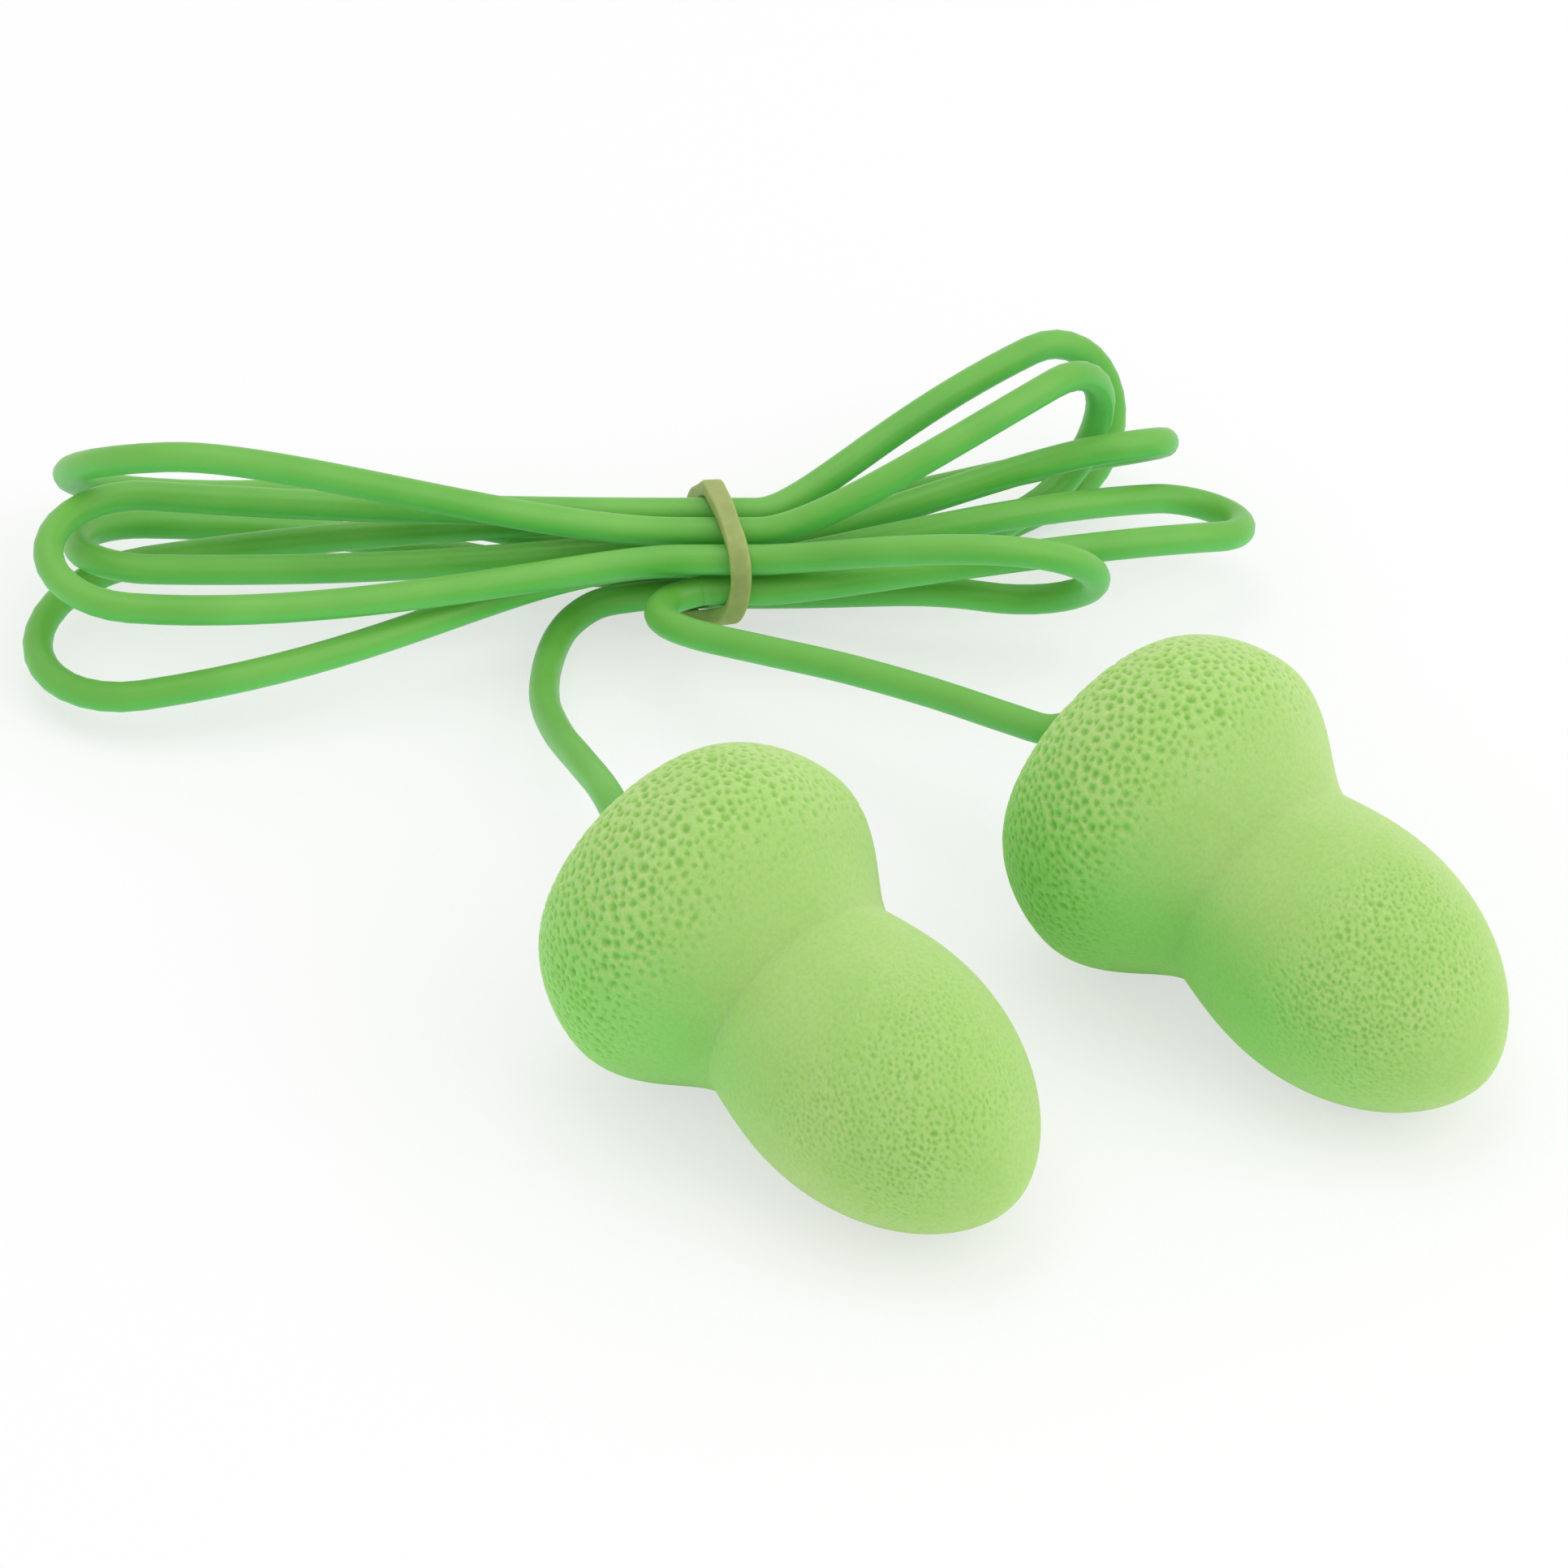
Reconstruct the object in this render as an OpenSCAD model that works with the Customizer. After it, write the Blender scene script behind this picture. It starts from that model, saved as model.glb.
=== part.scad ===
// A pair of bell-shaped foam ear plugs on one cord.
// The cord is folded into a hank of nine end folds, held at its waist by a rubber band.
// Millimetres, +Z up. The origin is on the table, under the middle of the two plugs.

/* [Foam plug] */
// length of one plug from its base to its tip
plug_length = 25.4; // [22:0.1:30]
// across the flare at the outer end
flare_d = 17.3; // [14:0.1:21]
// across the neck between flare and bulb
neck_d = 11.3; // [9:0.1:14]
// across the bulb that seats in the ear
bulb_d = 12.7; // [10:0.1:16]
// across the flat of the base, inside its rounded rim
base_d = 11.4; // [9:0.1:14.5]
// from the base to the widest ring of the flare
flare_at = 4.9; // [3:0.1:6]
// from the base to the neck
neck_at = 11.1; // [9:0.1:14]
// from the base to the widest ring of the bulb
bulb_at = 15.8; // [14.5:0.1:19]

/* [Cord and bond] */
// diameter of the soft cord
cord_d = 1.5; // [1.2:0.05:1.8]
// depth of the socket punched in each base
socket_depth = 9; // [6:0.5:12]
// adhesive all round the cord's end
bond_t = 0.25; // [0.15:0.05:0.5]

/* [Hank] */
// clear space between neighbouring strands at the waist
strand_gap = 0.45; // [0.42:0.01:0.6]
// middle of the waist, left to right
waist_x = -14.2; // [-18:0.1:-10]
// front column of strands at the waist
waist_y = 30.3; // [28:0.1:34]

/* [Rubber band] */
// width of the band
band_w = 1; // [0.6:0.1:1.2]
// thickness of the band
band_t = 0.8; // [0.5:0.1:0.9]
// how far the band's front leads its back, as an angle
band_skew = 14; // [0:1:18]

/* [Lay of the pair] */
// heading of the left plug's tip on the table
left_heading = -47.8; // [-60:0.1:-35]
// heading of the right plug's tip
right_heading = -46.2; // [-60:0.1:-35]
// base of the left plug, left to right
left_base_x = -17.57; // [-25:0.01:-12]
// base of the left plug, front to back
left_base_y = 3.64; // [0:0.01:8]
// base of the right plug, left to right
right_base_x = 3.78; // [0:0.01:10]
// base of the right plug, front to back
right_base_y = 11.44; // [8:0.01:15]

/* [Hidden] */
$fn = 64;

foam_colour = [0.62, 0.83, 0.44];
cord_colour = [0.36, 0.68, 0.3];
bond_colour = [0.82, 0.85, 0.7];
band_colour = [0.76, 0.72, 0.52];

// Outline of the foam from the axis at the base to the axis at the tip.
rim_power = 1.17;
flare_power = 0.77;
bulb_power = 0.5;
tip_power = 1.15;
rim_steps = 7;
cone_steps = 9;
bulb_steps = 5;
tip_steps = 10;
outline = concat(
    [[0, 0]],
    [for (i = [0:rim_steps]) rim_point(90 * i / rim_steps)],
    [for (i = [1:cone_steps]) flare_point(i / cone_steps)],
    [for (i = [1:bulb_steps]) bulb_point(i / bulb_steps)],
    [for (i = [1:tip_steps - 1]) tip_point(90 * i / tip_steps)],
    [[0, plug_length]]
);

function rim_point(a) = [
    base_d / 2 + (flare_d - base_d) / 2 * pow(sin(a), rim_power),
    flare_at * (1 - pow(cos(a), rim_power))
];
function flare_point(t) = [
    neck_d / 2 + (flare_d - neck_d) / 2 * pow((1 + cos(180 * t)) / 2, flare_power),
    flare_at + (neck_at - flare_at) * t
];
function bulb_point(t) = [
    neck_d / 2 + (bulb_d - neck_d) / 2 * pow((1 - cos(180 * t)) / 2, bulb_power),
    neck_at + (bulb_at - neck_at) * t
];
function tip_point(a) = [
    bulb_d / 2 * pow(cos(a), tip_power),
    bulb_at + (plug_length - bulb_at) * sin(a)
];

// The plug lies on its flare and its bulb: its tilt is that of the line that touches both.
tilt = atan(max([
    for (p = outline) if (p[1] < neck_at)
        min([for (q = outline) if (q[1] > neck_at) (p[0] - q[0]) / (q[1] - p[1])])
]));
base_height = max([for (p = outline) p[1] * sin(tilt) + p[0] * cos(tilt)]);

left_base = [left_base_x, left_base_y];
right_base = [right_base_x, right_base_y];
function unit(v) = v / norm(v);
function heading(h) = [cos(h) * cos(tilt), sin(h) * cos(tilt), -sin(tilt)];
function mouth(b) = [b[0], b[1], base_height];

// The box of the two plugs, whose middle is the origin.
function reach(b, h, k, s) = [
    for (p = outline) mouth(b)[k] + heading(h)[k] * p[1] + s * p[0] * sqrt(1 - pow(heading(h)[k], 2))
];
function middle(k) = (
    min(concat(reach(left_base, left_heading, k, -1), reach(right_base, right_heading, k, -1)))
    + max(concat(reach(left_base, left_heading, k, 1), reach(right_base, right_heading, k, 1)))
) / 2;
pair_middle = [middle(0), middle(1), 0];

// Strands at the waist: four columns from front to back, each a stack on its own foot.
pitch = cord_d + strand_gap;
column_foot = [3.1, 1.35, 1.05, 1.1];
waist_left = waist_x - 2;
waist_right = waist_x + 1.8;
seam_x = waist_x - 0.4;
function slot(s) = [waist_y + s[0] * pitch, column_foot[s[0]] + cord_d / 2 + s[1] * pitch];
function at_waist(x, s) = [x, slot(s)[0], slot(s)[1]];

// End folds in winding order. Each has its side, the strands that enter and leave it as column and row,
// the fold's tip with its height under the cord, its width and roll, its rise to the back and up,
// and how hard the strand in, the strand out and the turn hold their direction.
folds = [
    [1, [1, 0], [0, 1], [4, 28.5, 4.75], 8, -55, 0.15, -0.3, 1.6, 0.6, 1],
    [-1, [0, 1], [2, 2], [-47.25, 30.25, 6], 9, 180, 0.05, 0.05, 0.5, 0.6, 1.2],
    [1, [2, 2], [3, 0], [5.5, 45.25, 4], 8.25, 65, 0.8, 0, 0.4, 1.6, 1.7],
    [-1, [3, 0], [1, 2], [-46.5, 38, 4], 14.75, -45, 0.2, -0.2, 1, 0.9, 0.7],
    [1, [1, 2], [2, 0], [4.75, 40, 6.75], 8.25, 100, 1, -0.05, 0.5, 1.6, 1.5],
    [-1, [2, 0], [2, 1], [-46.25, 33.75, 3.25], 7.25, -20, -0.1, 0.1, 1.4, 0.3, 1.7],
    [1, [2, 1], [3, 1], [8, 39.25, 5.5], 5.5, 140, 0, 0.2, 0.5, 0.6, 0.8],
    [-1, [3, 1], [1, 1], [-48, 28.75, 1], 10.75, 0, -0.05, -0.15, 0.3, 0.9, 1.5],
    [1, [1, 1], [0, 0], [11.25, 36.5, 3], 5.5, -20, 0.6, -0.4, 0.3, 0.4, 1.5]
];
run_steps = 8;
turn_steps = 10;
first_strand = [1, 0];
last_strand = [0, 0];

function hermite(p, m, q, n, t) = (
    p * (2 * pow(t, 3) - 3 * pow(t, 2) + 1)
    + m * (pow(t, 3) - 2 * pow(t, 2) + t)
    + q * (3 * pow(t, 2) - 2 * pow(t, 3))
    + n * (pow(t, 3) - pow(t, 2))
);
function fold_points(f, runs, turns) = let (
    side = f[0],
    ahead = unit([side, f[6], f[7]]),
    flat = [0, cos(f[5]), sin(f[5])],
    across = unit(flat - (flat * ahead) * ahead) * f[4] / 2,
    hub = f[3] + [0, 0, cord_d / 2] - ahead * f[4] / 2,
    x = side > 0 ? waist_right : waist_left,
    pull = [side, 0, 0],
    p = at_waist(x, f[1]),
    q = at_waist(x, f[2]),
    s = hub + across,
    e = hub - across,
    near = norm(s - p),
    far = norm(e - q)
) concat(
    [for (i = [0:runs]) hermite(p, pull * f[8] * near, s, ahead * f[10] * near, i / runs)],
    [for (i = [1:turns - 1]) hub + across * cos(180 * i / turns) + ahead * f[4] / 2 * sin(180 * i / turns)],
    [for (i = [0:runs]) hermite(e, -ahead * f[10] * far, q, -pull * f[9] * far, i / runs)]
);
function hank_route(runs, turns) = concat(
    [at_waist(seam_x, first_strand)],
    [for (f = folds) for (p = fold_points(f, runs, turns)) p],
    [at_waist(seam_x, last_strand)]
);

// Least clear space of the hank's cord to itself, on close points more than four diameters apart along it.
dense = hank_route(26, 14);
last_dense = len(dense) - 1;
along = [
    for (i = 0, s = 0; i <= last_dense; i = i + 1, s = s + norm(dense[min(i, last_dense)] - dense[i - 1])) s
];
least_gap = min([
    for (i = [0:last_dense - 1])
        min([for (j = [i + 1:last_dense]) along[j] - along[i] > 4 * cord_d ? norm(dense[i] - dense[j]) : 99])
]) - cord_d;
echo(least_gap_of_hank_mm = least_gap, hank_cord_mm = along[last_dense]);

// Free leads from the waist to the two sockets: plan points with the height under the cord.
left_points = [
    [-18.5, 32.3, 1.1],
    [-20.5, 32, 0.8],
    [-22, 30.2, 0.7],
    [-22.7, 26.8, 1.2],
    [-22.7, 22, 2.8],
    [-21.9, 17, 4.9],
    [-20.7, 12.4, 7],
    [-19.6, 8.8, 8.4],
    [-18.9, 6.4, 8.9]
];
right_points = [
    [-16.6, 29.6, 3.1],
    [-17.2, 28.2, 3.5],
    [-16.8, 26.6, 4],
    [-15.2, 25, 4.5],
    [-12, 23.1, 5.1],
    [-8, 20.8, 5.8],
    [-4, 18, 6.6],
    [-0.4, 14.6, 7.8],
    [1.4, 13, 8.4]
];
lead_steps = 3;
tail = socket_depth - 0.6;
straight = 1.4;
function spline(p, n) = [
    for (i = [1:len(p) - 3])
        for (k = [0:n - 1])
            bend(p[i - 1], p[i], p[i + 1], p[i + 2], k / n)
];
function bend(a, b, c, d, t) = (
    2 * b + (c - a) * t + (2 * a - 5 * b + 4 * c - d) * pow(t, 2) + (3 * b - a - 3 * c + d) * pow(t, 3)
) / 2;
function lead_route(strand, points, turn_x, b, h) = let (
    start = at_waist(seam_x, strand),
    leave = at_waist(turn_x, strand),
    m = mouth(b),
    a = heading(h)
) concat(
    [start],
    spline(concat(
        [start, leave],
        [for (p = points) p + [0, 0, cord_d / 2]],
        [m - straight * a, m, m + straight * a]
    ), lead_steps),
    [m, m + tail * a]
);
left_route = lead_route(first_strand, left_points, waist_left, left_base, left_heading);
right_route = lead_route(last_strand, right_points, waist_x - 0.9, right_base, right_heading);

// A tube of flat-sided rings carried along a route without twisting.
cord_sides = 8;
function ways(p) = [
    for (i = [0:len(p) - 1]) unit(p[min(i + 1, len(p) - 1)] - p[max(i - 1, 0)])
];
function square_to(u, t) = unit(u - (u * t) * t);
function sides_of(t) = let (last = len(t) - 1) [
    for (i = 0, u = square_to([0, 0, 1], t[0]); i <= last; i = i + 1, u = square_to(u, t[min(i, last)])) u
];
module cord(p) {
    t = ways(p);
    u = sides_of(t);
    n = cord_sides;
    last = n * (len(p) - 1);
    points = [
        for (i = [0:len(p) - 1])
            for (k = [0:n - 1])
                p[i] + cord_d / 2 * (u[i] * cos(360 * k / n) + cross(t[i], u[i]) * sin(360 * k / n))
    ];
    walls = [
        for (i = [0:len(p) - 2])
            for (k = [0:n - 1])
                for (f = [[0, 1, n + 1], [0, n + 1, n]])
                    [for (c = f) n * i + (c >= n ? n : 0) + (k + c % n) % n]
    ];
    ends = concat(
        [for (k = [1:n - 2]) [0, k + 1, k]],
        [for (k = [1:n - 2]) [last, last + k, last + k + 1]]
    );
    polyhedron(points = points, faces = [for (f = concat(walls, ends)) [f[0], f[2], f[1]]], convexity = 10);
}

module lay(b, h) {
    translate(mouth(b) - pair_middle) rotate([0, 90 + tilt, h]) children();
}
module foam() {
    difference() {
        rotate_extrude() polygon(outline);
        translate([0, 0, -1]) cylinder(d = cord_d + 2 * bond_t, h = socket_depth + 1);
    }
}
module bond() {
    difference() {
        cylinder(d = cord_d + 2 * bond_t, h = socket_depth);
        translate([0, 0, -1]) cylinder(d = cord_d + 0.04, h = tail + 1);
    }
}

module left_plug() {
    color(foam_colour) lay(left_base, left_heading) foam();
}
module right_plug() {
    color(foam_colour) lay(right_base, right_heading) foam();
}
module left_bond() {
    color(bond_colour) lay(left_base, left_heading) bond();
}
module right_bond() {
    color(bond_colour) lay(right_base, right_heading) bond();
}
module left_lead() {
    color(cord_colour) translate(-pair_middle) cord(left_route);
}
module right_lead() {
    color(cord_colour) translate(-pair_middle) cord(right_route);
}
module cord_hank() {
    color(cord_colour) translate(-pair_middle) cord(hank_route(run_steps, turn_steps));
}

// The band follows the outer strands with a little slack, cut square across its skewed line.
outer_strands = [[0, 1], [1, 2], [2, 2], [3, 1], [3, 0], [2, 0], [1, 0], [0, 0]];
band_slack = 0.1;
module around(grow) {
    offset(r = cord_d / 2 + band_slack + grow) polygon([for (s = outer_strands) slot(s)]);
}
module rubber_band() {
    middle_y = waist_y + 1.5 * pitch;
    color(band_colour) translate(-pair_middle) intersection() {
        translate([waist_x - 4, 0, 0]) rotate([90, 0, 90]) linear_extrude(8) difference() {
            around(band_t);
            around(0);
        }
        translate([waist_x, middle_y, 0]) rotate([0, 0, band_skew]) cube([band_w, 40, 40], center = true);
    }
}

left_plug();
right_plug();
left_bond();
right_bond();
left_lead();
right_lead();
cord_hank();
rubber_band();
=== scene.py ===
import math

import bpy
import numpy as np
from mathutils import Matrix, Vector, noise
from mathutils.kdtree import KDTree


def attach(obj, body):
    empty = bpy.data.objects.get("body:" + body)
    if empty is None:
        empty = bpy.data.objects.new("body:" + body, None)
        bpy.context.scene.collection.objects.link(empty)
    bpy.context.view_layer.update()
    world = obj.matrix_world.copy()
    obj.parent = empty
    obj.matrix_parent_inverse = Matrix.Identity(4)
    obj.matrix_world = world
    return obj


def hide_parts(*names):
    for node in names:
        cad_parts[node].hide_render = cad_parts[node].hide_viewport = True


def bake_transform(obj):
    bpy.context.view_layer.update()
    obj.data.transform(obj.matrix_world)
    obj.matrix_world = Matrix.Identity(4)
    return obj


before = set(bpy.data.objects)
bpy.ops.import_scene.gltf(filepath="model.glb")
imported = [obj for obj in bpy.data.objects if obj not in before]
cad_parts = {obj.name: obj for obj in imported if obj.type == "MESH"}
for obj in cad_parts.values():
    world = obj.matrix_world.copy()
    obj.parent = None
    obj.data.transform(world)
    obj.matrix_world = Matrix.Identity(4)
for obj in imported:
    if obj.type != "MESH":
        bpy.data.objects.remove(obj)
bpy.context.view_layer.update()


# Camera: it stands in front of the plugs and above the table, and looks along +Y over them
# at the hank. A long lens keeps the far strands nearly as large as the near ones.
look_at = Vector((-0.01106, 0.01997, 0))
camera_distance = 0.380
camera_elevation = math.radians(39.8)
lens_mm, sensor_mm = 178.9, 36
nearest_seen, farthest_seen = 0.01, 10
camera_data = bpy.data.cameras.new("camera")
camera_data.sensor_width = sensor_mm
camera_data.lens = lens_mm
camera_data.clip_start = nearest_seen
camera_data.clip_end = farthest_seen
camera = bpy.data.objects.new("camera", camera_data)
camera.location = look_at + camera_distance * Vector(
    (0, -math.cos(camera_elevation), math.sin(camera_elevation))
)
camera.rotation_euler = (math.pi / 2 - camera_elevation, 0, 0)
bpy.context.scene.collection.objects.link(camera)
bpy.context.scene.camera = camera


# Cord hank: a soft plastic cord, extruded in one length and folded back and forth by hand.
# Its end folds lie left and right of a waist, where a rubber band gathers the strands.
cord_diameter = 0.0015
strand_pitch = 0.00195
waist_x, waist_y = -0.0142, 0.0303
straight_left, straight_right = 0.0020, 0.0018
waist_left = waist_x - straight_left
waist_right = waist_x + straight_right
seam_offset = 0.0004
seam_x = waist_x - seam_offset
column_foot = (0.0031, 0.00135, 0.00105, 0.0011)
first_strand = (1, 0)
last_strand = (0, 0)
run_steps, turn_steps = 22, 16
cord_sides = 16
cut_edge = math.radians(50)

# Each fold: side, strand in, strand out, tip with the height under the cord, width, roll in degrees,
# lean back and up, and how hard the strand in, the strand out and the turn hold their direction.
folds = [
    (1, (1, 0), (0, 1), (0.0040, 0.02850, 0.00475), 0.00800, -55, 0.15, -0.3, 1.6, 0.6, 1.0),
    (-1, (0, 1), (2, 2), (-0.04725, 0.03025, 0.0060), 0.00900, 180, 0.05, 0.05, 0.5, 0.6, 1.2),
    (1, (2, 2), (3, 0), (0.0055, 0.04525, 0.0040), 0.00825, 65, 0.8, 0, 0.4, 1.6, 1.7),
    (-1, (3, 0), (1, 2), (-0.0465, 0.03800, 0.0040), 0.01475, -45, 0.2, -0.2, 1.0, 0.9, 0.7),
    (1, (1, 2), (2, 0), (0.00475, 0.04000, 0.00675), 0.00825, 100, 1, -0.05, 0.5, 1.6, 1.5),
    (-1, (2, 0), (2, 1), (-0.04625, 0.03375, 0.00325), 0.00725, -20, -0.1, 0.1, 1.4, 0.3, 1.7),
    (1, (2, 1), (3, 1), (0.0080, 0.03925, 0.0055), 0.00550, 140, 0, 0.2, 0.5, 0.6, 0.8),
    (-1, (3, 1), (1, 1), (-0.0480, 0.02875, 0.0010), 0.01075, 0, -0.05, -0.15, 0.3, 0.9, 1.5),
    (1, (1, 1), (0, 0), (0.01125, 0.03650, 0.0030), 0.00550, -20, 0.6, -0.4, 0.3, 0.4, 1.5),
]


def at_waist(x, strand):
    column, row = strand
    return Vector((
        x,
        waist_y + column * strand_pitch,
        column_foot[column] + cord_diameter / 2 + row * strand_pitch,
    ))


def hermite(p, p_way, q, q_way, t):
    return (
        p * (2 * t**3 - 3 * t**2 + 1)
        + p_way * (t**3 - 2 * t**2 + t)
        + q * (3 * t**2 - 2 * t**3)
        + q_way * (t**3 - t**2)
    )


def fold_route(side, strand_in, strand_out, tip, width, roll, back, up, hold_in, hold_out, hold_turn):
    """The cord from the waist out to one end fold, round it and back to the waist."""
    ahead = Vector((side, back, up)).normalized()
    flat = Vector((0, math.cos(math.radians(roll)), math.sin(math.radians(roll))))
    across = (flat - flat.dot(ahead) * ahead).normalized() * width / 2
    hub = Vector(tip) + Vector((0, 0, cord_diameter / 2)) - ahead * width / 2
    x = waist_right if side > 0 else waist_left
    pull = Vector((side, 0, 0))
    p, q = at_waist(x, strand_in), at_waist(x, strand_out)
    start, end = hub + across, hub - across
    near, far = (start - p).length, (end - q).length
    route = [
        hermite(p, pull * hold_in * near, start, ahead * hold_turn * near, i / run_steps)
        for i in range(run_steps + 1)
    ]
    for i in range(1, turn_steps):
        turn = math.pi * i / turn_steps
        route.append(hub + across * math.cos(turn) + ahead * width / 2 * math.sin(turn))
    route += [
        hermite(end, -ahead * hold_turn * far, q, -pull * hold_out * far, i / run_steps)
        for i in range(run_steps + 1)
    ]
    return route


def ring_faces(first, next_first, count):
    """The faces between two rings of as many points, each given by its first point."""
    return [
        (first + k, first + (k + 1) % count, next_first + (k + 1) % count, next_first + k)
        for k in range(count)
    ]


def cord_tube(name, route):
    """A round cord along a route: rings carried along it without twisting, closed at both ends."""
    points = np.array(route)
    ways = np.gradient(points, axis=0)
    ways /= np.linalg.norm(ways, axis=1)[:, None]
    side = np.cross(ways[0], (0, 0, 1))
    turns = np.arange(cord_sides) * 2 * math.pi / cord_sides
    rings = []
    for point, way in zip(points, ways):
        side = side - side.dot(way) * way
        side /= np.linalg.norm(side)
        other = np.cross(way, side)
        rings.append(
            point + cord_diameter / 2 * (np.outer(np.cos(turns), side) + np.outer(np.sin(turns), other))
        )
    last = cord_sides * (len(rings) - 1)
    faces = []
    for first in range(0, last, cord_sides):
        faces += ring_faces(first, first + cord_sides, cord_sides)
    faces += [tuple(range(cord_sides))[::-1], tuple(range(last, last + cord_sides))]
    mesh = bpy.data.meshes.new(name)
    mesh.from_pydata(np.concatenate(rings).tolist(), [], faces)
    mesh.shade_smooth()
    mesh.set_sharp_from_angle(angle=cut_edge)
    tube = bpy.data.objects.new(name, mesh)
    bpy.context.scene.collection.objects.link(tube)
    return tube


def route_length(route):
    return sum((q - p).length for p, q in zip(route, route[1:]))


class Shade:
    """A value in a finish. Sums and products of shades add the Math nodes that work them out."""

    def __init__(self, finish, socket):
        self.finish = finish
        self.socket = socket

    def math(self, operation, left, right):
        return self.finish.node("Math", {"operation": operation}, {0: left, 1: right})

    def __add__(self, other):
        return self.math("ADD", self, other)

    def __radd__(self, other):
        return self.math("ADD", other, self)

    def __sub__(self, other):
        return self.math("SUBTRACT", self, other)

    def __rsub__(self, other):
        return self.math("SUBTRACT", other, self)

    def __mul__(self, other):
        return self.math("MULTIPLY", self, other)

    def __rmul__(self, other):
        return self.math("MULTIPLY", other, self)


class Finish:
    """One procedural material: a Principled shader and the nodes that feed it."""

    # The Mix node's sockets for colours, which share their names with others.
    mix_share, mix_one, mix_other, mix_colour = 0, 6, 7, 2

    def __init__(self, name, **constants):
        self.material = bpy.data.materials.new(name)
        self.material.use_nodes = True
        self.tree = self.material.node_tree
        self.shader = self.tree.nodes["Principled BSDF"]
        for socket, value in constants.items():
            self.shader.inputs[socket.replace("_", " ")].default_value = value

    def feed(self, socket, value):
        if isinstance(value, Shade):
            self.tree.links.new(value.socket, socket)
        else:
            socket.default_value = value

    def node(self, kind, settings, inputs, outlet=0):
        node = self.tree.nodes.new("ShaderNode" + kind)
        for setting, value in settings.items():
            setattr(node, setting, value)
        for socket, value in inputs.items():
            self.feed(node.inputs[socket], value)
        return None if outlet is None else Shade(self, node.outputs[outlet])

    def place(self):
        return self.node("TexCoord", {}, {}, "Object")

    def attribute(self, name):
        return self.node("Attribute", {"attribute_name": name}, {}, "Fac")

    def clouds(self, size, detail=2.0):
        """Soft noise from 0 to 1 whose lumps are about that many metres across."""
        return self.node("TexNoise", {}, {"Vector": self.place(), "Scale": 1 / size, "Detail": detail})

    def ease(self, value, low, high):
        """0 below low, 1 above high, and smooth between them."""
        smooth = {"interpolation_type": "SMOOTHSTEP"}
        return self.node("MapRange", smooth, {"Value": value, "From Min": low, "From Max": high})

    def blend(self, share, one, other, way="MIX"):
        """One colour turning into the other, or with MULTIPLY the one tinted by the other."""
        settings = {"data_type": "RGBA", "blend_type": way}
        colours = {self.mix_share: share, self.mix_one: one, self.mix_other: other}
        return self.node("Mix", settings, colours, self.mix_colour)

    def tint(self, share, colour, by):
        return self.blend(share, colour, by, "MULTIPLY")

    def facing(self, way):
        """1 where the surface faces that way, 0 where it is edge-on to it and -1 where it faces away."""
        normal = self.node("NewGeometry", {}, {}, "Normal")
        return self.node("VectorMath", {"operation": "DOT_PRODUCT"}, {0: normal, 1: way}, "Value")

    def dents(self, height, depth):
        return self.node("Bump", {}, {"Height": height, "Strength": 1.0, "Distance": depth})

    def output(self, **sockets):
        for socket, value in sockets.items():
            self.feed(self.shader.inputs[socket.replace("_", " ")], value)


cord_leaf = (0.185, 0.524, 0.079, 1)
cord_deep = (0.143, 0.468, 0.057, 1)
# Tint for the painted shade on the cord's down-facing sides.
cord_painted_shade_tint = (0.62, 1.18, 1.32, 1)
satin_cord = Finish(
    "satin_cord",
    IOR=1.5,
    Subsurface_Weight=0.3,
    Subsurface_Radius=(0.5, 1.0, 0.6),
    Subsurface_Scale=0.0008,
    Sheen_Weight=0.08,
    Sheen_Roughness=0.4,
)
drift_size, bloom_size, die_mark_size = 0.007, 0.0009, 0.0002
die_mark_depth = 0.000006
drift = satin_cord.clouds(drift_size)
bloom = satin_cord.clouds(bloom_size, 3.0)
die_marks = satin_cord.clouds(die_mark_size, 3.0)
cord_tone = satin_cord.blend(satin_cord.ease(drift, 0.3, 0.7), cord_deep, cord_leaf)
# Painted shade: where the cord faces sideways and down, away from the light above, its colour turns a deeper,
# bluer green.
cord_painted_shade = 1 - satin_cord.ease(satin_cord.facing((0, 0, 1)), -0.3, 0.75)
satin_cord.output(
    Base_Color=satin_cord.tint(cord_painted_shade * 0.85, cord_tone, cord_painted_shade_tint),
    Roughness=0.32 + bloom * 0.16 + drift * 0.05,
    Normal=satin_cord.dents(die_marks, die_mark_depth),
)

hank_route = [at_waist(seam_x, first_strand)]
for fold in folds:
    hank_route += fold_route(*fold)
hank_route.append(at_waist(seam_x, last_strand))
hank = cord_tube("hank", hank_route)
hank.data.materials.append(satin_cord.material)
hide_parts("cord_hank")
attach(hank, "hank")


# Leads: the two free ends of the same cord. Each leaves the waist from under the rubber band,
# rises to its plug and runs straight into the socket in the plug's base, where it is glued.
plug_tilt = math.radians(11.10)
plug_base_height = 0.009496
plug_headings = {"left": math.radians(-47.8), "right": math.radians(-46.2)}
plug_mouths = {
    "left": Vector((-0.01757, 0.00364, plug_base_height)),
    "right": Vector((0.00378, 0.01144, plug_base_height)),
}
lead_tail = 0.0084
lead_straight = 0.0014
lead_steps = 8
right_turn_offset = 0.0009
lead_strands = {"left": first_strand, "right": last_strand}
lead_turns = {"left": waist_left, "right": waist_x - right_turn_offset}

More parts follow.
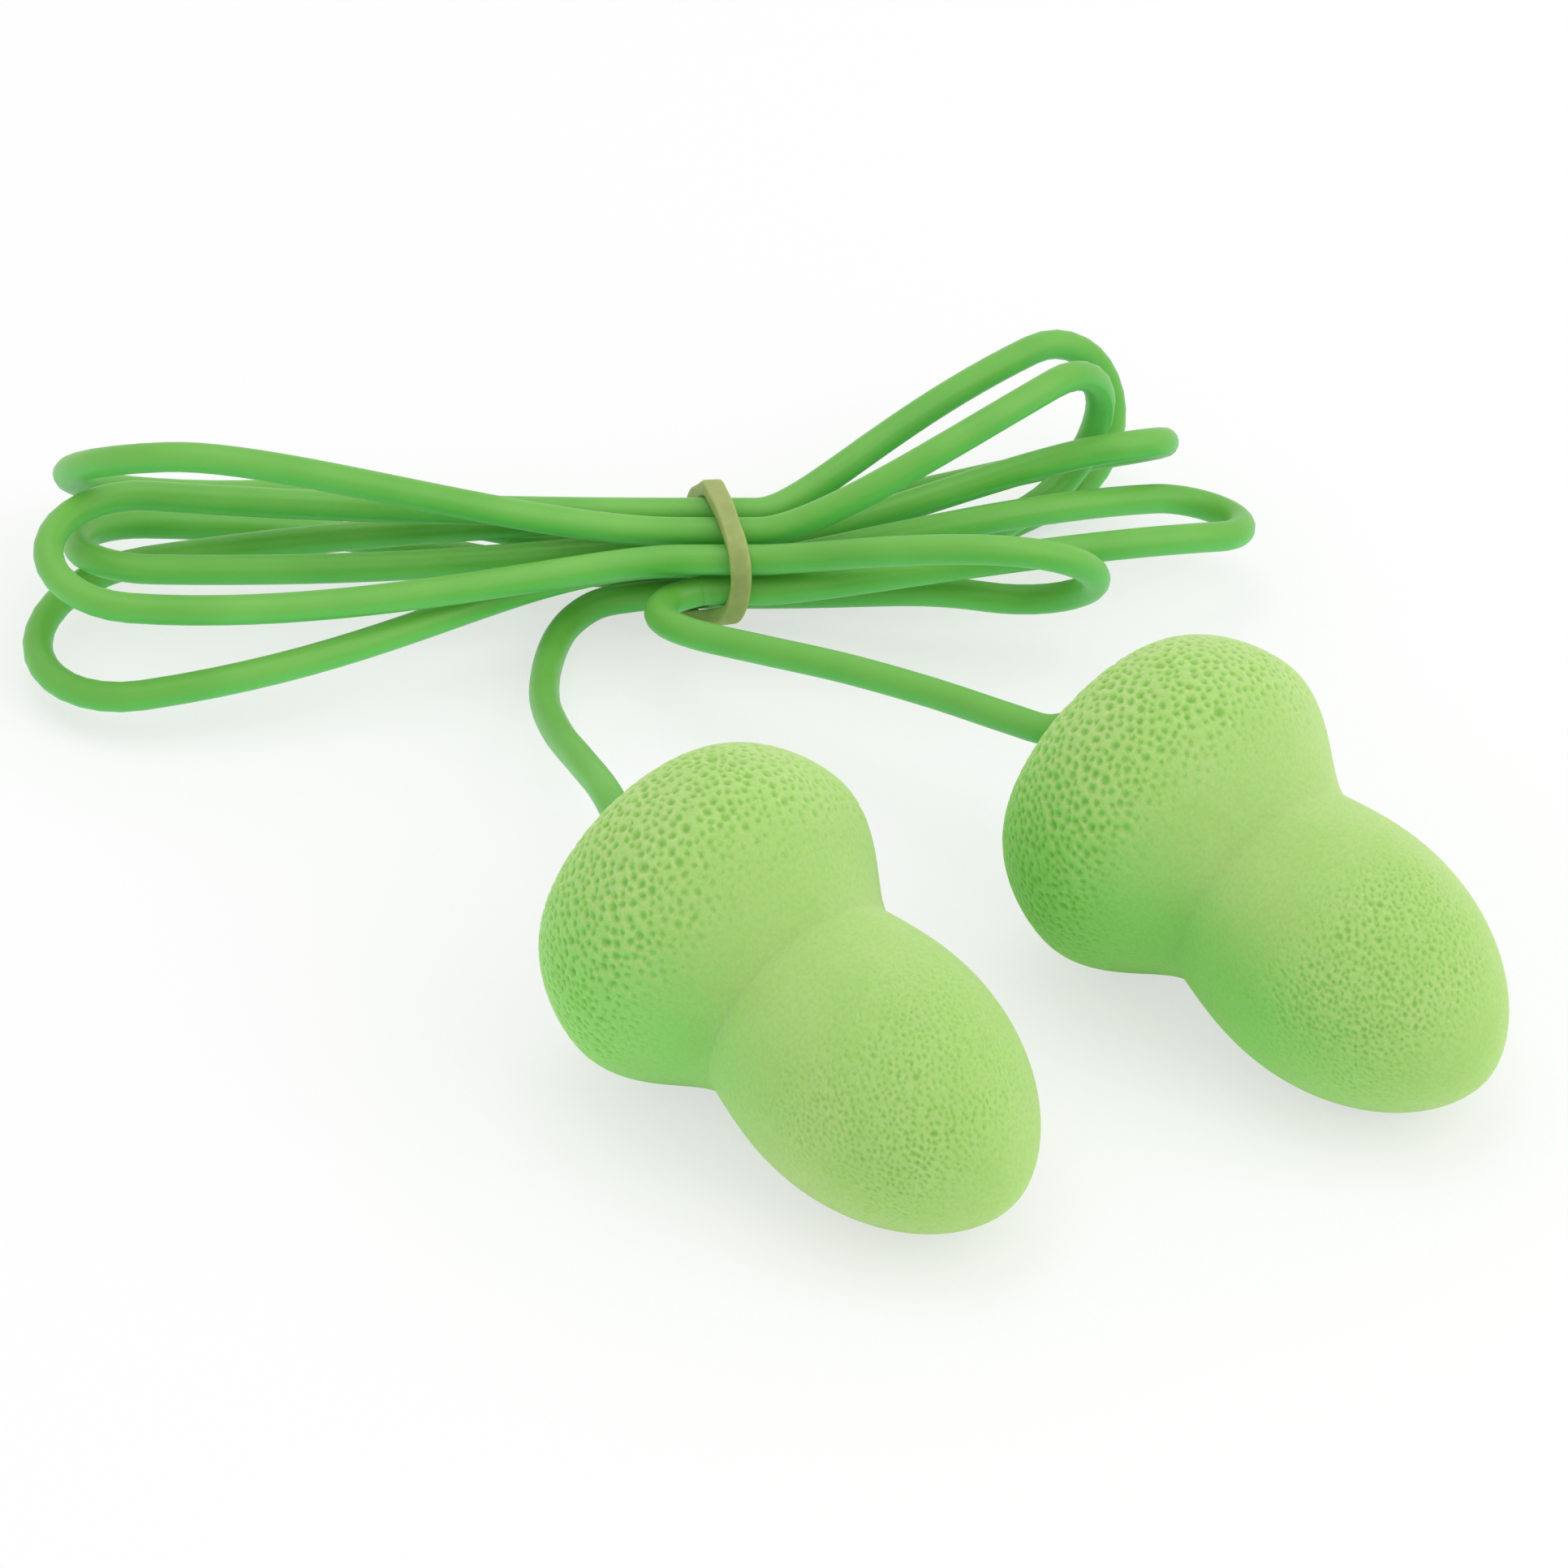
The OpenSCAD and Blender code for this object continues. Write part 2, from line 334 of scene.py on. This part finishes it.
# Plan points with the height under the cord, as in the part's source.
lead_points = {
    "left": [
        (-0.0185, 0.0323, 0.0011),
        (-0.0205, 0.0320, 0.0008),
        (-0.0220, 0.0302, 0.0007),
        (-0.0227, 0.0268, 0.0012),
        (-0.0227, 0.0220, 0.0028),
        (-0.0219, 0.0170, 0.0049),
        (-0.0207, 0.0124, 0.0070),
        (-0.0196, 0.0088, 0.0084),
        (-0.0189, 0.0064, 0.0089),
    ],
    "right": [
        (-0.0166, 0.0296, 0.0031),
        (-0.0172, 0.0282, 0.0035),
        (-0.0168, 0.0266, 0.0040),
        (-0.0152, 0.0250, 0.0045),
        (-0.0120, 0.0231, 0.0051),
        (-0.0080, 0.0208, 0.0058),
        (-0.0040, 0.0180, 0.0066),
        (-0.0004, 0.0146, 0.0078),
        (0.0014, 0.0130, 0.0084),
    ],
}


def plug_way(side):
    heading = plug_headings[side]
    return Vector((
        math.cos(heading) * math.cos(plug_tilt),
        math.sin(heading) * math.cos(plug_tilt),
        -math.sin(plug_tilt),
    ))


def through(points, steps):
    """A smooth curve through points, without the first and the last of them."""
    curve = []
    for a, b, c, d in zip(points, points[1:], points[2:], points[3:]):
        for k in range(steps):
            t = k / steps
            bend = 2 * a - 5 * b + 4 * c - d
            swing = 3 * b - a - 3 * c + d
            curve.append((2 * b + (c - a) * t + bend * t**2 + swing * t**3) / 2)
    return curve


for side in ("left", "right"):
    start = at_waist(seam_x, lead_strands[side])
    leave = at_waist(lead_turns[side], lead_strands[side])
    mouth, way = plug_mouths[side], plug_way(side)
    waypoints = [Vector(p) + Vector((0, 0, cord_diameter / 2)) for p in lead_points[side]]
    into_plug = [mouth - lead_straight * way, mouth, mouth + lead_straight * way]
    lead_route = [start]
    lead_route += through([start, leave, *waypoints, *into_plug], lead_steps)
    lead_route += [mouth, mouth + lead_tail / 2 * way, mouth + lead_tail * way]
    lead = cord_tube(side + "_cord_lead", lead_route)
    lead.data.materials.append(satin_cord.material)
    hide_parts(side + "_lead")
    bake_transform(lead)
    route_length(lead_route)


# Rubber band: a thin latex ring, cut from a tube and stretched once round the hank's waist.
# Nothing fixes it but its own pull, and its front has crept towards the right.
band_width = 0.0010
band_thickness = 0.0008
band_slack = 0.0001
band_skew = math.radians(14)
band_bow, band_bow_from = 0.0026, 0.0056
band_corner = 0.00016
corner_steps = 4
band_stations = 150
bearing_steps = 720
pinch_share, pinch_scale, pinch_slice = 0.06, 400, 3.0
lean_share, lean_scale, lean_slice = 0.10, 250, 8.0
outer_strands = [(0, 1), (1, 2), (2, 2), (3, 1), (3, 0), (2, 0), (1, 0), (0, 0)]

# The line round the outer strands, at the middle of the band's thickness.
strand_centres = np.array([at_waist(0, s)[1:] for s in outer_strands])
bearings = np.linspace(0, 2 * math.pi, bearing_steps, endpoint=False)
outward = np.stack((np.cos(bearings), np.sin(bearings)), axis=1)
stand_off = cord_diameter / 2 + band_slack + band_thickness / 2
girth = strand_centres[np.argmax(outward @ strand_centres.T, axis=1)] + stand_off * outward
girth = np.concatenate((girth, girth[:1]))
paid_out = np.concatenate(([0], np.cumsum(np.linalg.norm(np.diff(girth, axis=0), axis=1))))
stations = np.linspace(0, paid_out[-1], band_stations, endpoint=False)
girth = np.stack([np.interp(stations, paid_out, girth[:, k]) for k in (0, 1)], axis=1)

# The cut section: a rectangle with softened corners, as across the band and out from the hank.
section = []
for turn, (a, b) in enumerate(((1, 1), (-1, 1), (-1, -1), (1, -1))):
    for k in range(corner_steps + 1):
        angle = math.pi / 2 * (turn + k / corner_steps)
        section.append((
            a * (band_width / 2 - band_corner) + band_corner * math.cos(angle),
            b * (band_thickness / 2 - band_corner) + band_corner * math.sin(angle),
        ))
middle_y = waist_y + (len(column_foot) - 1) / 2 * strand_pitch
band_points = []
for i, (y, z) in enumerate(girth):
    y_way, z_way = girth[(i + 1) % band_stations] - girth[i - 1]
    out = Vector((0, z_way, -y_way)).normalized()
    droop = max(0, (band_bow_from - z) / band_bow_from) ** 2
    centre = Vector((waist_x - (y - middle_y) * math.tan(band_skew) - band_bow * droop, y, z))
    pinch = 1 + pinch_share * noise.noise((y * pinch_scale, z * pinch_scale, pinch_slice))
    lean = lean_share * noise.noise((y * lean_scale, z * lean_scale, lean_slice))
    for across, proud in section:
        band_points.append(
            centre + Vector((across * pinch - proud * lean, 0, 0)) + out * (proud + across * lean)
        )
band_faces = []
for i in range(band_stations):
    band_faces += ring_faces(i * len(section), (i + 1) % band_stations * len(section), len(section))
band_mesh = bpy.data.meshes.new("band")
band_mesh.from_pydata([tuple(p) for p in band_points], [], band_faces)
band_mesh.shade_smooth()
band = bpy.data.objects.new("band", band_mesh)
bpy.context.scene.collection.objects.link(band)

latex_pale = (0.385, 0.450, 0.165, 1)
latex_aged = (0.335, 0.410, 0.125, 1)
latex = Finish(
    "latex",
    IOR=1.5,
    Subsurface_Weight=0.8,
    Subsurface_Radius=(1.0, 0.9, 0.5),
    Subsurface_Scale=0.0006,
)
chalk_size, crease_size, crease_depth = 0.0006, 0.00015, 0.00001
chalk = latex.clouds(chalk_size, 4.0)
latex.output(
    Base_Color=latex.blend(latex.ease(chalk, 0.3, 0.75), latex_aged, latex_pale),
    Roughness=0.55 + chalk * 0.2,
    Normal=latex.dents(latex.clouds(crease_size, 3.0), crease_depth),
)
band_mesh.materials.append(latex.material)
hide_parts("rubber_band")
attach(band, "band")
route_length(hank_route)


# Foam plugs: slow-recovery polyurethane foam, moulded in one piece with a flare, a neck and a bulb.
# The mould leaves a smooth skin at the neck; on the flare and the bulb the cells open as pores,
# mostly on the side that open_side points to, across the plug's own axis.
plug_length = 0.0254
flare_radius, flare_at = 0.00865, 0.0049
neck_radius, neck_at = 0.00565, 0.0111
bulb_radius, bulb_at = 0.00635, 0.0158
base_radius = 0.0057
rim_power, flare_power, bulb_power, tip_power = 1.17, 0.77, 0.5, 1.15
socket_radius, socket_depth = 0.0010, 0.0090
open_bearing = math.radians(-140)
open_side = (math.cos(open_bearing), math.sin(open_bearing))
flare_pores_end, flare_pores_fade = 0.0102, 0.0046
bulb_pores_start, bulb_pores_rise = 0.0136, 0.0045
tip_pores_end, tip_pores_fade = 0.0252, 0.0025
patch_scale, broad_scale = 260, 110
end_by_patch, end_by_broad = 0.0008, 0.0010
flare_least, flare_mean, flare_by_side = 0.45, 0.62, 0.45
bulb_mean, bulb_by_side, bulb_by_patch, bulb_by_broad = 0.22, 0.75, 0.25, 0.25
sideless_radius = 0.002

base_steps, round_steps, slope_steps = 99, 400, 300
quarter = np.linspace(0, math.pi / 2, round_steps)
share = np.linspace(0, 1, slope_steps)
swell = (1 - np.cos(math.pi * share)) / 2
skin = np.concatenate((
    np.stack((np.linspace(socket_radius, base_radius, base_steps + 1)[:-1], np.zeros(base_steps)), axis=1),
    np.stack((
        base_radius + (flare_radius - base_radius) * np.sin(quarter) ** rim_power,
        flare_at * (1 - np.clip(np.cos(quarter), 0, 1) ** rim_power),
    ), axis=1),
    np.stack((
        neck_radius + (flare_radius - neck_radius) * (1 - swell) ** flare_power,
        flare_at + (neck_at - flare_at) * share,
    ), axis=1)[1:],
    np.stack((
        neck_radius + (bulb_radius - neck_radius) * swell ** bulb_power,
        neck_at + (bulb_at - neck_at) * share,
    ), axis=1)[1:],
    np.stack((
        bulb_radius * np.clip(np.cos(quarter), 0, 1) ** tip_power,
        bulb_at + (plug_length - bulb_at) * np.sin(quarter),
    ), axis=1)[1:],
))
skin_arc = np.concatenate(([0], np.cumsum(np.linalg.norm(np.diff(skin, axis=0), axis=1))))


def on_skin(arc):
    """Radius and height on the plug's outline, that far from the socket's mouth."""
    return np.interp(arc, skin_arc, skin[:, 0]), np.interp(arc, skin_arc, skin[:, 1])


def arc_at_height(height):
    return np.interp(height, skin[base_steps:, 1], skin_arc[base_steps:])


# Rings of points from the mouth to the tip, in zones: the base, the flare, the neck, the bulb and the tip.
# They are closest where the cells open as pores, with twice the spokes where the plug is also wide.
spokes = 220
base_zone_end = 0.0044
flare_zone_end, bulb_zone_start, bulb_zone_end = (arc_at_height(h) for h in (0.0100, 0.0134, 0.0242))
zone_edges = (0.0, base_zone_end, flare_zone_end, bulb_zone_start, bulb_zone_end, skin_arc[-1])
zone_spacings = (0.00010, 0.000128, 0.00030, 0.000128, 0.00020)
zone_counts = (spokes, 2 * spokes, spokes, 2 * spokes, spokes)
ring_arcs, ring_counts = [], []
for zone_start, zone_end, spacing, count in zip(zone_edges, zone_edges[1:], zone_spacings, zone_counts):
    steps = round((zone_end - zone_start) / spacing)
    ring_arcs += [zone_start + (zone_end - zone_start) * i / steps for i in range(steps)]
    ring_counts += [count] * steps
ring_arcs, ring_counts = np.array(ring_arcs), np.array(ring_counts)


def stitch(first, count, next_first, next_count):
    """Faces between two rings, where one may have twice the points of the other."""
    if count == next_count:
        return ring_faces(first, next_first, count)
    if count < next_count:
        return [
            (
                first + k,
                first + (k + 1) % count,
                next_first + (2 * k + 2) % next_count,
                next_first + 2 * k + 1,
                next_first + 2 * k,
            )
            for k in range(count)
        ]
    return [
        (
            first + 2 * k,
            first + 2 * k + 1,
            first + (2 * k + 2) % count,
            next_first + (k + 1) % next_count,
            next_first + k,
        )
        for k in range(next_count)
    ]


def openness(point, seed):
    """How far the moulding skin is open at a point: 0 where it is closed, 1 where every cell shows."""
    patch = noise.noise(Vector(point) * patch_scale + Vector((seed, 0, 0)))
    broad = noise.noise(Vector(point) * broad_scale + Vector((0, seed, 0)))
    x, y, height = point
    facing = (x * open_side[0] + y * open_side[1]) / max(sideless_radius, math.hypot(x, y))
    if height < neck_at:
        end = flare_pores_end + end_by_patch * patch + end_by_broad * broad
        fade = min(1, max(0, (end - height) / flare_pores_fade))
        by_side = min(1, max(flare_least, flare_mean + flare_by_side * facing))
        return fade * fade * (3 - 2 * fade) * by_side
    rise = max(0, (height - bulb_pores_start) / bulb_pores_rise)
    rise = min(1, rise, max(0, (tip_pores_end - height) / tip_pores_fade))
    share_open = bulb_mean + bulb_by_side * facing + bulb_by_patch * patch + bulb_by_broad * broad
    return rise * min(1, max(0, share_open))


# Each field of pores: where it starts and ends on the outline, how many are tried, and how far apart
# they stand at least and at most.
pore_fields = (
    (0.0003, arc_at_height(flare_pores_end), 43000, 0.00031, 0.00045),
    (bulb_zone_start, skin_arc[-1], 70000, 0.00020, 0.00029),
)
closer_below = 0.15
pore_share, pore_luck = 0.7, (0.78, 1.12)
shut_size, shut_bowl = 0.4, 0.15
least_opening = 0.05
burst_chance, burst_growth = 0.02, 1.4
pore_squash, pore_wall, pore_depth = 0.8, 0.8, 0.45


def cast_pores(seed):
    """Pores strewn over the flare and, closer and smaller, the bulb: each as wide as its neighbours allow."""
    draw = np.random.default_rng(seed)
    pores = []
    for field_start, field_end, tries, closest, widest in pore_fields:
        arcs = draw.uniform(field_start, field_end, tries)
        radii, heights = on_skin(arcs)
        turns = draw.uniform(0, 2 * math.pi, tries)
        luck = draw.uniform(0, 1, tries)
        spread = draw.uniform(closest, widest, tries) * (1 - closer_below * np.cos(turns))
        centres = np.stack((radii * np.cos(turns), radii * np.sin(turns), heights), axis=1)
        lots = np.floor(centres / ((1 + closer_below) * widest)).astype(int)
        taken, kept = {}, []
        for i in range(tries):
            # A narrow ring has less skin, so it gets fewer tries.
            if luck[i] > radii[i] / flare_radius:
                continue
            x, y, z = lots[i]
            near = [
                k
                for dx in (-1, 0, 1)
                for dy in (-1, 0, 1)
                for dz in (-1, 0, 1)
                for k in taken.get((x + dx, y + dy, z + dz), ())
            ]
            if near and np.min(np.sum((centres[near] - centres[i]) ** 2, axis=1)) < spread[i] ** 2:
                continue
            taken.setdefault((x, y, z), []).append(i)
            kept.append(i)
        neighbours = KDTree(len(kept))
        for i in kept:
            neighbours.insert(centres[i], i)
        neighbours.balance()
        for i in kept:
            opening = openness(centres[i], seed)
            if opening > least_opening:
                nearest = neighbours.find_n(centres[i], 2)[1][2]
                size = pore_share * nearest * draw.uniform(*pore_luck)
                size *= shut_size + (1 - shut_size) * opening
                if draw.uniform() < burst_chance:
                    size *= burst_growth
                short_way = draw.normal(size=3)
                pores.append((centres[i], size, opening, short_way / np.linalg.norm(short_way)))
    return pores


socket_lip = 0.0002
mouth_edge = math.radians(75)
shade_fade, least_shade = 0.0090, 0.1


def foam_plug(name, seed, shade_reach):
    """One plug along +Z from its base: the socket, the skin's rings, and each pore pressed into them."""
    ring_radii, ring_heights = on_skin(ring_arcs)
    a_step_on = 0.00002
    next_radii, next_heights = on_skin(ring_arcs + a_step_on)
    slope = np.stack((next_heights - ring_heights, ring_radii - next_radii), axis=1)
    slope /= np.linalg.norm(slope, axis=1)[:, None]
    rings = [
        (socket_radius, socket_depth, spokes, (-1, 0)),
        (socket_radius, socket_lip, spokes, (-1, 0)),
    ] + list(zip(ring_radii, ring_heights, ring_counts, slope))
    points, normals, faces, first = [(0, 0, socket_depth)], [(0, 0, -1)], [], 1
    faces += [(0, first + (k + 1) % spokes, first + k) for k in range(spokes)]
    for i, (radius, height, count, (out, up)) in enumerate(rings):
        turns = np.arange(count) * 2 * math.pi / count
        points += list(zip(radius * np.cos(turns), radius * np.sin(turns), [height] * count))
        normals += list(zip(out * np.cos(turns), out * np.sin(turns), [up] * count))
        if i + 1 < len(rings):
            faces += stitch(first, count, first + count, rings[i + 1][2])
            first += count
    tip = len(points)
    faces += [(first + k, first + (k + 1) % spokes, tip) for k in range(spokes)]
    points.append((0, 0, plug_length))
    normals.append((0, 0, 1))

    points, normals = np.array(points, float), np.array(normals, float)
    tree = KDTree(len(points))
    for i, point in enumerate(points):
        tree.insert(point, i)
    tree.balance()
    # Painted shade weight: full near the base, falling to a least share towards shade_reach along the plug.
    painted_shade_weight = np.clip((shade_reach - points[:, 2]) / shade_fade, least_shade, 1)
    pore = np.zeros(len(points))
    sunk = np.zeros(len(points))
    skin_from = 1 + 2 * spokes
    for centre, size, opening, short_way in cast_pores(seed):
        for place, i, gap in tree.find_range(centre, size):
            if i < skin_from:
                continue
            along = np.dot(np.array(place) - centre, short_way)
            gap = math.sqrt(gap * gap + pore_squash * along * along) / size
            wall = min(1, max(0, (1 - gap) / pore_wall))
            bowl = wall * wall * (3 - 2 * wall) * (shut_bowl + (1 - shut_bowl) * opening)
            pore[i] = max(pore[i], bowl)
            sunk[i] = max(sunk[i], bowl * size * pore_depth)
    points -= normals * sunk[:, None]
    mesh = bpy.data.meshes.new(name)
    mesh.from_pydata(points.tolist(), [], faces)
    mesh.shade_smooth()
    mesh.set_sharp_from_angle(angle=mouth_edge)
    mesh.attributes.new("pore", "FLOAT", "POINT").data.foreach_set("value", pore)
    mesh.attributes.new("painted_shade_weight", "FLOAT", "POINT").data.foreach_set("value", painted_shade_weight)
    plug = bpy.data.objects.new(name, mesh)
    bpy.context.scene.collection.objects.link(plug)
    return plug


foam_skin = (0.458, 0.667, 0.240, 1)
foam_shade = (0.430, 0.653, 0.215, 1)
# Pore colour: painted shade at the bottom of the pores, and the dark end of the fine random grain.
foam_pore_shade_and_grain = (0.275, 0.570, 0.085, 1)
# Tint for the painted shade on the foam's side away from the light.
foam_painted_shade_tint = (0.60, 1.00, 0.70, 1)
foam = Finish(
    "foam",
    IOR=1.4,
    Specular_IOR_Level=0.15,
    Subsurface_Weight=1.0,
    Subsurface_Radius=(0.5, 0.9, 0.35),
    Subsurface_Scale=0.002,
    Sheen_Weight=0.08,
    Sheen_Roughness=0.5,
)
mottle_size, grain_size, grain_depth = 0.004, 0.0002, 0.00003
light_side = (0.33, 0, 0.94)
mottle = foam.clouds(mottle_size, 3.0)
grain = foam.clouds(grain_size, 2.0)
foam_tone = foam.blend(foam.ease(mottle, 0.3, 0.7), foam_shade, foam_skin)
# Painted shade in the pores: each pore's bowl turns the skin towards the pore colour, and the grain varies it
# at random.
foam_tone = foam.blend(foam.attribute("pore") * 0.46 + grain * 0.9 - 0.34, foam_tone, foam_pore_shade_and_grain)
# Painted shade: the foam turned away from light_side is tinted a deeper green, strongest towards each plug's
# base.
foam_painted_shade = (1 - foam.ease(foam.facing(light_side), -0.18, 0.62)) * foam.attribute("painted_shade_weight")
foam.output(
    Base_Color=foam.tint(foam_painted_shade * 0.85, foam_tone, foam_painted_shade_tint),
    Roughness=0.8 + mottle * 0.15,
    Normal=foam.dents(grain, grain_depth),
)

plug_seeds = {"left": 11, "right": 29}
# How far along each plug the painted shade reaches: further on the right plug, which stands in the left
# plug's shade.
shade_reaches = {"left": 0.0185, "right": 0.0260}
for side in ("left", "right"):
    plug = foam_plug(side + "_foam_plug", plug_seeds[side], shade_reaches[side])
    plug.data.materials.append(foam.material)
    plug.data.transform(
        Matrix.Translation(plug_mouths[side])
        @ Matrix.Rotation(plug_headings[side], 4, "Z")
        @ Matrix.Rotation(math.pi / 2 + plug_tilt, 4, "Y")
    )
    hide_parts(side + "_plug")
    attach(plug, side)


# Adhesive: clear glue that fills the gap between the cord's end and the socket in each base.
# Only its ring at the mouth of the socket shows, with the green of the foam behind it.
glue_green = (0.33, 0.58, 0.17, 1)
glue_ripple = 0.0004
glue = Finish("glue", IOR=1.48, Base_Color=glue_green, Coat_Weight=0.2)
glue.output(Roughness=0.25 + glue.clouds(glue_ripple) * 0.2)
for side in ("left", "right"):
    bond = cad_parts[side + "_bond"]
    for slot in bond.material_slots:
        slot.material = glue.material


# Table and light: a white paper table top under a soft overhead studio, brighter from the front right.
# The table is partly seen as plain white, and the rest of it keeps the object's shadow.
table_reach, table_drop = 3, 0.00002
table_corners = [(x * table_reach, y * table_reach, 0) for x, y in ((-1, -1), (1, -1), (1, 1), (-1, 1))]
paper_white = (0.97, 0.97, 0.97, 1)
plain_white_share = 0.62
table_mesh = bpy.data.meshes.new("table")
table_mesh.from_pydata(table_corners, [], [(0, 1, 2, 3)])
table = bpy.data.objects.new("table", table_mesh)
bpy.context.scene.collection.objects.link(table)
table.location.z = -table_drop
table_top = Finish("table_top", Base_Color=paper_white, Roughness=0.9, Specular_IOR_Level=0.0)
paper = Shade(table_top, table_top.shader.outputs[0])
plain_white = table_top.node("Emission", {}, {"Color": (1, 1, 1, 1), "Strength": 1.0})
rays = ("Is Camera Ray", "Is Glossy Ray", "Is Transmission Ray")
seen = sum(table_top.node("LightPath", {}, {}, ray) for ray in rays)
table_look = table_top.node("MixShader", {}, {0: seen * plain_white_share, 1: paper, 2: plain_white})
table_top.node("OutputMaterial", {"is_active_output": True}, {"Surface": table_look}, None)
table_mesh.materials.append(table_top.material)

# Each lamp: its place, the side of its square and its power.
lamps = {
    "key": ((0.35, -0.15, 0.40), 0.50, 0.85),
    "top": ((-0.05, 0.10, 0.60), 0.40, 0.55),
}
for name, (place, size, power) in lamps.items():
    lamp = bpy.data.lights.new(name, "AREA")
    lamp.size = size
    lamp.energy = power
    lamp_object = bpy.data.objects.new(name, lamp)
    lamp_object.location = place
    lamp_object.rotation_euler = (look_at - Vector(place)).to_track_quat("-Z", "Y").to_euler()
    bpy.context.scene.collection.objects.link(lamp_object)

studio_level = 0.75
world = bpy.data.worlds.new("studio")
world.use_nodes = True
studio = world.node_tree.nodes["Background"]
studio.inputs["Color"].default_value = (1, 1, 1, 1)
studio.inputs["Strength"].default_value = studio_level
bpy.context.scene.world = world
bpy.context.scene.view_settings.view_transform = "Standard"
